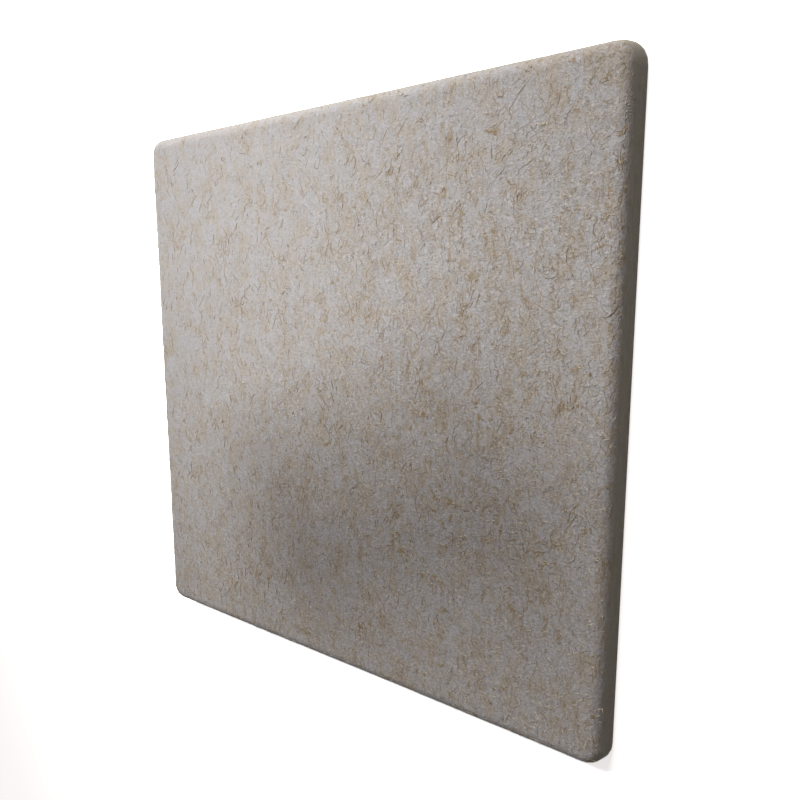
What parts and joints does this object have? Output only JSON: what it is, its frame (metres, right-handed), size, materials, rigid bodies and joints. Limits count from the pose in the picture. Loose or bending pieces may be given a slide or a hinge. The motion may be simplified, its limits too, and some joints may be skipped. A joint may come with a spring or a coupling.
{
  "type": "wall panel",
  "caption": "Square wall panel pressed from natural-fibre felt, with a soft rounded front edge, rounded corners and a flat back that is glued to a wall to absorb sound.",
  "frame": {"origin": "centre of the back face, which lies on the floor", "axes": "+X along the panel's width, +Y along its height on the wall, +Z out of the front face"},
  "size_m": [0.3, 0.3, 0.012],
  "materials": {
    "felt": "matte pressed felt, pale grey-beige with tan and brown plant fibres"
  },
  "bodies": {
    "root": {"felt_panel": "felt"}
  },
  "joints": []
}
